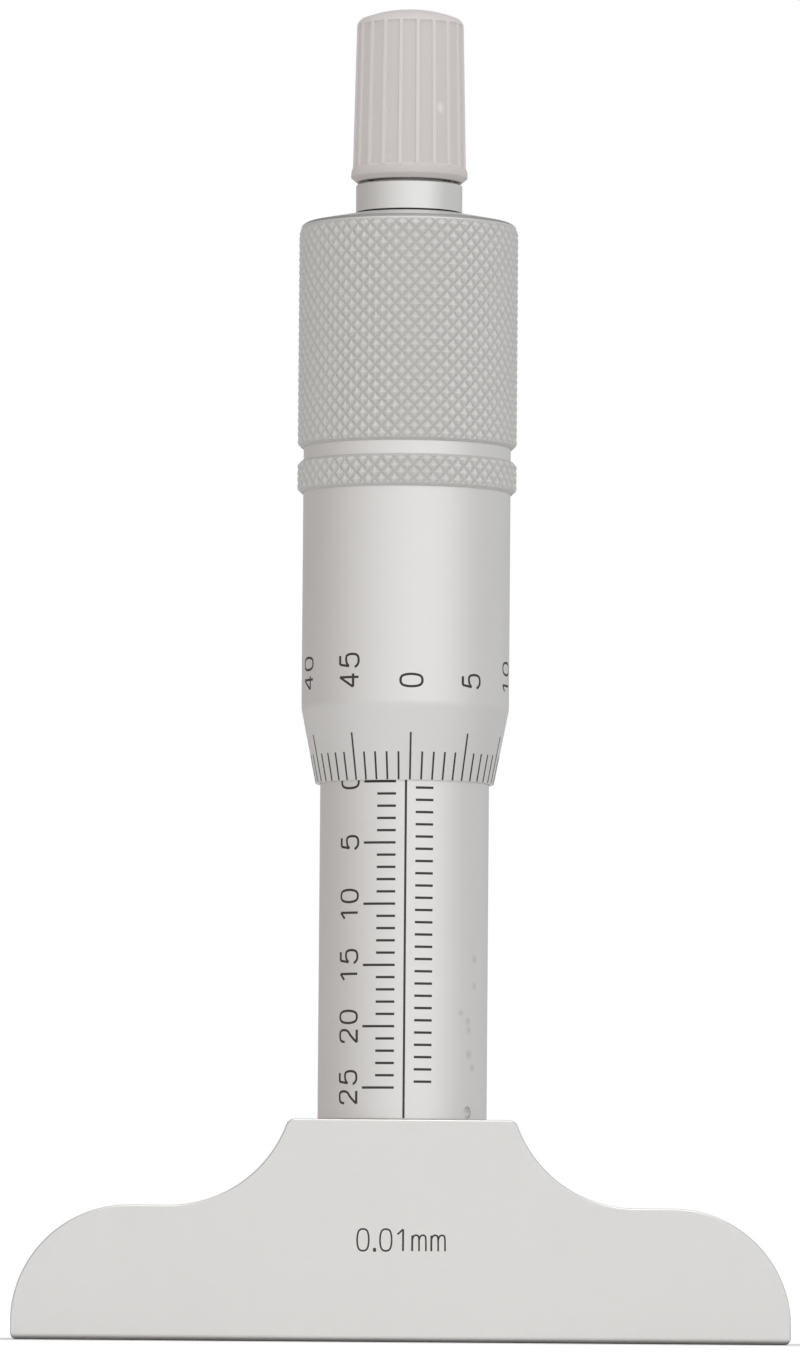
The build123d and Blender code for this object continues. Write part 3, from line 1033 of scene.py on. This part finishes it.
# %% Tool marks and haze
def tool_marks(name, scale, detail):
    """Fine lines that are long where the scale is small. Puts out a value around a half."""
    group, _, marks = new_group(name, [], "Marks")
    place = node(group, "ShaderNodeTexCoord").outputs["Object"]
    stretched = node(group, "ShaderNodeMapping", {"Vector": place, "Scale": scale}).outputs["Vector"]
    noise = node(group, "ShaderNodeTexNoise", {
        "Vector": stretched, "Scale": 1.0, "Detail": detail, "Roughness": 0.6,
    })
    group.links.new(noise.outputs["Fac"], marks)
    return group


turning_marks = tool_marks("Turning marks", (250, 250, 9000), 3)
grinding_marks = tool_marks("Grinding marks", (600, 5000, 5000), 4)
handling_haze = tool_marks("Handling haze", (160, 160, 110), 3)
fine_grain = tool_marks("Fine grain", (9000, 9000, 9000), 2)
print("Groups:", [group.name for group in bpy.data.node_groups])

# %% [markdown]
# Grooves are painted darker than crests, as painted shade, because little light reaches into them. On a
# round piece the depth of a point is its distance from the axis, compared with a cone that lies on the
# crests, so one group serves the knurl and the ribs of the knob.

# %% Depth below the crests
crest_depth, given, height = new_group(
    "Height in a groove", ["Low radius", "High radius", "Low level", "High level", "Depth"], "Height"
)
axes = axes_of(crest_depth)
crests = between(
    crest_depth, axes["Z"], given["Low radius"], given["High radius"],
    start=given["Low level"], end=given["High level"],
)
below = math(crest_depth, "SUBTRACT", crests, length_of(crest_depth, axes["X"], axes["Y"]))
share_below = math(crest_depth, "DIVIDE", below, given["Depth"], use_clamp=True)
crest_depth.links.new(math(crest_depth, "SUBTRACT", 1.0, share_below), height)
print("Inputs of the group:", [item.name for item in crest_depth.interface.items_tree])

# %% [markdown]
# The instrument has been used. A few faint stains lie on the sleeve, and the knob has one small pale spot.
# Each is a soft round spot on the surface, so one group makes them all.

# %% A soft spot around a point
spot, given, mask = new_group("Spot", ["X", "Y", "Z", "Size"], "Mask")
place = node(spot, "ShaderNodeTexCoord").outputs["Object"]
centre = node(spot, "ShaderNodeCombineXYZ", {axis: given[axis] for axis in "XYZ"}).outputs["Vector"]
apart = node(spot, "ShaderNodeVectorMath", {0: place, 1: centre}, operation="DISTANCE").outputs["Value"]
spot.links.new(
    between(spot, apart, 1.0, 0.0, start=0.0, end=given["Size"], interpolation_type="SMOOTHSTEP"), mask
)
print("Inputs of the group:", [item.name for item in spot.interface.items_tree])


# %% One recipe for all surfaces
def shader_of(material):
    return next(part for part in material.node_tree.nodes if part.type == "BSDF_PRINCIPLED")


def tinted(material, share, colour):
    """Mixes one more colour over the tone that a material already has."""
    tree = material.node_tree
    tone = shader_of(material).inputs["Base Color"]
    tree.links.new(blend(tree, share, tone.links[0].from_socket, colour), tone)


def spotted(material, colour, strength, radius, spots):
    """Soft spots on a round piece: (degrees round from the front, height and size in mm)."""
    tree = material.node_tree
    for turn, height, size in spots:
        soft_round = use_group(tree, spot, *around(radius, radians(turn)), height * MM, size * MM)
        tinted(material, math(tree, "MULTIPLY", soft_round, strength), colour)


def surface(name, dull, bright, roughness, marks, depth, metal=False, crests=(), crest_tone=None):
    """A surface whose marks move its roughness and normal, and whose haze moves its tone."""
    material = bpy.data.materials.new(name)
    material.use_nodes = True
    tree = material.node_tree
    tree.nodes.clear()
    lines = use_group(tree, marks)
    haze = use_group(tree, handling_haze)
    tone = blend(tree, between(tree, haze, 0, 1), dull, bright)
    rough = between(tree, lines, *roughness)
    if metal:
        tone = blend(tree, between(tree, lines, 0, 0.12), tone, tuple(0.9 * value for value in dull))
        rough = math(tree, "ADD", rough, between(tree, haze, -0.03, 0.03))
    if crests:
        tone = blend(tree, use_group(tree, crest_depth, *crests), tone, crest_tone)
    bump = node(tree, "ShaderNodeBump", {"Distance": depth, "Height": lines})
    shader = node(tree, "ShaderNodeBsdfPrincipled", {
        "Base Color": tone, "Roughness": rough, "Metallic": float(metal), "Normal": bump.outputs["Normal"],
    })
    node(tree, "ShaderNodeOutputMaterial", {"Surface": shader.outputs["BSDF"]})
    return material


# %% Metals
METALS = {  # dull and bright tone, roughness from and to, marks of the tool and their depth
    "satin chrome": ((0.81, 0.805, 0.79), (0.83, 0.825, 0.81), (0.32, 0.38), turning_marks, 0.8e-6),
    "bright chrome": ((0.765, 0.765, 0.75), (0.795, 0.795, 0.78), (0.22, 0.27), turning_marks, 1e-6),
    # The shoulder's dark tone is painted shade; its higher roughness is the finish.
    "shoulder chrome with painted shade": ((0.43, 0.426, 0.42), (0.46, 0.456, 0.448), (0.5, 0.58), turning_marks, 1e-6),
    "ground steel": ((0.785, 0.777, 0.76), (0.81, 0.802, 0.785), (0.3, 0.38), grinding_marks, 1e-6),
    "lapped steel": ((0.7, 0.7, 0.7), (0.74, 0.74, 0.74), (0.16, 0.2), turning_marks, 1e-6),
    "turned steel": ((0.56, 0.56, 0.56), (0.62, 0.62, 0.62), (0.28, 0.4), turning_marks, 4e-6),
    "spring steel": ((0.4, 0.4, 0.41), (0.48, 0.48, 0.5), (0.25, 0.35), fine_grain, 1e-6),
}
metals = {name: surface(name, *recipe, metal=True) for name, recipe in METALS.items()}
knurl_tone = (0.672, 0.667, 0.655)
metals["knurled chrome"] = surface(
    "knurled chrome", knurl_tone, (0.702, 0.697, 0.685), (0.66, 0.74), fine_grain, 2e-6, metal=True,
    # The crests are lighter than the grooves: painted shade in the grooves.
    crests=(crest_radius, crest_radius, 0.0, 1.0, knurl_depth),
    crest_tone=tuple(1.18 * value for value in knurl_tone),
)

# A near-black band at the foot of the collar is painted shade: the shadow in the seam between the collar
# and the thimble.
seam_top = slope_high + 0.22 * MM
painted_seam_shadow = (0.03, 0.03, 0.03)
tree = metals["bright chrome"].node_tree
seam_shadow_mask = between(tree, axes_of(tree)["Z"], 1.0, 0.0, start=seam_top - 0.04 * MM, end=seam_top)
tinted(metals["bright chrome"], seam_shadow_mask, painted_seam_shadow)

spotted(metals["satin chrome"], (0.52, 0.52, 0.53), 0.45, sleeve_radius, [
    (57, 31.3, 0.5), (57, 29.1, 0.45), (43, 26.9, 0.4), (50, 26.2, 0.5), (51, 25.5, 0.5), (51, 23.5, 0.6),
    (55, 22.4, 0.45),
])
print("Metals:", list(metals))

# %% Plastic, paint and the table
grey_plastic = surface(
    "grey plastic", (0.69, 0.652, 0.643), (0.715, 0.675, 0.666), (0.5, 0.6), fine_grain, 4e-6,
    # The ribs are lighter than the panels: painted shade in the panels.
    crests=(rib_radius, dome_foot_radius, rib_foot, dome_foot, panel_depth),
    crest_tone=(0.786, 0.743, 0.734),
)
spotted(grey_plastic, (1.0, 0.97, 0.96), 0.45, rib_radius - panel_depth, [
    (34.5, 101.3, 0.55), (34, 101.65, 0.5),
])
lip_plastic = surface(
    "lip plastic", (0.68, 0.635, 0.628), (0.705, 0.66, 0.65), (0.5, 0.6), fine_grain, 4e-6
)
dark_paint = surface(
    "dark paint", (0.036, 0.027, 0.026), (0.05, 0.04, 0.038), (0.55, 0.65), fine_grain, 1e-6
)
pale_floor = surface("pale floor", (0.92, 0.92, 0.92), (0.94, 0.94, 0.94), (0.7, 0.8), fine_grain, 0)
print("And:", [material.name for material in (grey_plastic, lip_plastic, dark_paint, pale_floor)])

# %% [markdown]
# ## Put every piece on its body
#
# Each new piece takes its finish, stands for the plain node that it replaces, and rides on the body that
# carries it, so the thimble's numbers turn and travel with the thimble. The shoulder of the thimble is
# rougher than its barrel and painted darker, as painted shade, and the lip of the knob is a little darker.


# %% Assign finishes, bodies and nodes
def finish(piece, material, body, slot, *stands_for):
    piece.data.materials.clear()
    piece.data.materials.append(material)
    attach(piece, body)
    if stands_for:
        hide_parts(*stands_for)


def second_finish(piece, material, wanted):
    """Another finish on the faces whose middle passes the test."""
    piece.data.materials.append(material)
    for face in piece.data.polygons:
        if wanted(face.center):
            face.material_index = 1


finish(base, metals["ground steel"], "base", "ground_steel", "base")
finish(unit_mark, dark_paint, "base", "ground_steel")
finish(sleeve, metals["satin chrome"], "outer_sleeve", "satin_chrome", "outer_sleeve")
finish(sleeve_lines, dark_paint, "outer_sleeve", "satin_chrome")
finish(sleeve_numbers, dark_paint, "outer_sleeve", "satin_chrome")
finish(rod, metals["lapped steel"], "spindle", "lapped_steel", "spindle")
finish(thread, metals["lapped steel"], "spindle", "lapped_steel", "spindle")
finish(thimble, metals["satin chrome"], "thimble", "satin_chrome", "thimble")
finish(narrow_band, metals["knurled chrome"], "thimble", "satin_chrome", "thimble")
finish(main_band, metals["knurled chrome"], "thimble", "satin_chrome", "thimble")
finish(thimble_lines, dark_paint, "thimble", "satin_chrome")
finish(thimble_numbers, dark_paint, "thimble", "satin_chrome")
finish(collar, metals["bright chrome"], "thimble", "satin_chrome", "ratchet_body")
finish(knob, grey_plastic, "ratchet_knob", "grey_plastic", "ratchet_cap")

# The shoulder takes the darker chrome: painted shade.
second_finish(
    thimble, metals["shoulder chrome with painted shade"],
    lambda middle: hypot(middle.x, middle.y) > shoulder_centre[0]
    and main_high - 0.02 * MM < middle.z < thimble_high.z - 0.03 * MM,
)
second_finish(knob, lip_plastic, lambda middle: middle.z < rib_foot - 0.1 * MM)

INNER = {  # node: its body and the width of its soft edges
    "inner_sleeve": ("base", 0.08 * MM),
    "adjusting_nut": ("base", 0.08 * MM),
    "clutch_ring": ("clutch_ring", 0.03 * MM),
    "ratchet_sleeve": ("ratchet_knob", 0.05 * MM),
    "retaining_washer": ("thimble", 0.04 * MM),
    "retaining_screw": ("thimble", 0.05 * MM),
}
for name, (body, edge) in INNER.items():
    finish(refined(f"finished_{name}", name, edge), metals["turned steel"], body, "turned_steel", name)

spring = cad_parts["ratchet_spring"]
spring.data.materials.clear()
spring.data.materials.append(metals["spring steel"])

# %% [markdown]
# ## Floor, light and camera
#
# The instrument stands in a white studio. To the camera the floor glows a little, but not close to the
# base, which leaves a painted contact shadow there. A satin cylinder shows what stands around it, so to
# reflected rays the table is painted darker behind the base and dark right at its foot, as painted shade,
# and the room is brightest behind the camera and falls off towards the back. The camera stands low and far
# away, with a long lens, and looks up a little.

# %% Floor
# Where the glow fades in near the base, the floor is left darker: a painted contact shadow.
glow_start, glow_end = 10 * MM, 46 * MM  # distances from the base
glow_strength = 0.5
# Painted shadow: to reflected rays the table is dark right at the foot.
foot_shadow_zone = 0.35 * MM  # the table is dark right at the foot
painted_foot_shadow = (0.4, 0.4, 0.4)
# Painted shade: to reflected rays the table is darker behind the base than ahead of it.
painted_shade_behind, tone_ahead = (0.76, 0.75, 0.745), (0.95, 0.95, 0.95)

bpy.ops.mesh.primitive_plane_add(size=6)
floor = named("floor")
floor.data.materials.append(pale_floor)

tree = pale_floor.node_tree
axes = axes_of(tree)
away = length_of(tree, *[
    math(tree, "MAXIMUM", math(tree, "SUBTRACT", math(tree, "ABSOLUTE", axes[axis]), reach), 0.0)
    for axis, reach in (("X", half_length), ("Y", half_thickness))
])
for_camera = node(tree, "ShaderNodeLightPath").outputs["Is Camera Ray"]
glow = between(tree, away, 0.0, 1.0, start=glow_start, end=glow_end)
glow_tone = blend(tree, glow, (0.0, 0.0, 0.0), (1.0, 1.0, 1.0))
tree.links.new(glow_tone, shader_of(pale_floor).inputs["Emission Color"])
glow_power = math(tree, "MULTIPLY", for_camera, glow_strength)
tree.links.new(glow_power, shader_of(pale_floor).inputs["Emission Strength"])
from_axis = math(tree, "MAXIMUM", length_of(tree, axes["X"], axes["Y"]), MM)
ahead = math(tree, "DIVIDE", math(tree, "MULTIPLY", axes["Y"], -1.0), from_axis)
painted_table_shade = blend(tree, between(tree, ahead, 0.0, 1.0, start=-0.2, end=0.85), painted_shade_behind, tone_ahead)
foot_shadow_mask = between(tree, away, 0.0, 1.0, start=0.0, end=foot_shadow_zone)
painted_table_shade = blend(tree, foot_shadow_mask, painted_foot_shadow, painted_table_shade)
tinted(pale_floor, math(tree, "SUBTRACT", 1.0, for_camera), painted_table_shade)
print("The floor glows from", round(glow_start / MM), "mm to", round(glow_end / MM), "mm away")

# %% Room light
ROOM = [  # degrees round from the camera, positive to the right, and the brightness there
    (-180, 0.49), (-150, 0.45), (-116, 0.475), (-85, 0.565), (-60, 0.69), (-35, 0.82), (-12, 0.92),
    (12, 0.99), (40, 0.98), (62, 0.80), (85, 0.65), (120, 0.63), (180, 0.49),
]
warm_side = (1.0, 0.965, 0.955)  # the wall on the left is a little pink
world = bpy.data.worlds.new("studio")
bpy.context.scene.world = world
world.use_nodes = True
room = world.node_tree
room.nodes.clear()
direction = axes_of(room, "Generated")
turn_round = math(room, "ARCTAN2", direction["X"], math(room, "MULTIPLY", direction["Y"], -1))
share_round = math(room, "ADD", math(room, "DIVIDE", turn_round, tau), 0.5)
ramp = node(room, "ShaderNodeValToRGB", {"Fac": share_round})
ramp.color_ramp.interpolation = "EASE"
stops = ramp.color_ramp.elements
for _ in ROOM[2:]:
    stops.new(0.5)
for stop, (degrees_round, brightness) in zip(stops, ROOM):
    stop.position = degrees_round / 360 + 0.5
    warmth = min(max(-degrees_round / 60, 0), 1)
    stop.color = (*(brightness * (1 - warmth + warmth * tint) for tint in warm_side), 1)
towards_ceiling = between(room, direction["Z"], 1.06, 0.9, start=0.1, end=0.7)
soft_box = between(room, direction["Z"], 0.0, 1.0, start=0.8, end=0.97)  # straight overhead
walls = node(room, "ShaderNodeBackground", {
    "Color": ramp.outputs["Color"], "Strength": math(room, "ADD", towards_ceiling, soft_box),
})
backdrop = node(room, "ShaderNodeBackground", {"Color": (1, 1, 1, 1)})
seen = node(room, "ShaderNodeMixShader", {
    0: node(room, "ShaderNodeLightPath").outputs["Is Camera Ray"],
    1: walls.outputs[0],
    2: backdrop.outputs[0],
})
node(room, "ShaderNodeOutputWorld", {"Surface": seen.outputs[0]})
print("The room has", len(stops), "tones around")

# %% Overhead panel
panel_place = (0.1, -0.2, 0.75)
panel_aim = Vector((0, 0, 0.06))
bpy.ops.object.light_add(type="AREA", location=panel_place)
panel = named("overhead_panel")
panel.data.shape = "RECTANGLE"
panel.data.size = 0.3
panel.data.size_y = 0.2
panel.data.energy = 0.25
panel.rotation_euler = (panel_aim - panel.location).to_track_quat("-Z", "Y").to_euler()
print("The panel stands", round(panel.location.z / MM), "mm over the table")

# %% Camera
camera_distance = 800 * MM
eye_height = 2.9 * MM
eye_side = -0.45 * MM
pitch_up = 3.703
roll = 0.45
lens = 258.6
bpy.ops.object.camera_add(location=(eye_side, -camera_distance, eye_height))
camera = named("camera")
camera.rotation_mode = "ZYX"
camera.rotation_euler = (radians(90 + pitch_up), 0, radians(roll))
camera.data.lens = lens
camera.data.sensor_width = 36
camera.data.clip_start = 0.05
camera.data.clip_end = 20
bpy.context.scene.camera = camera
bpy.context.scene.view_settings.view_transform = "Standard"
bpy.context.scene.view_settings.look = "None"
print("The camera's lens is", lens, "mm long")
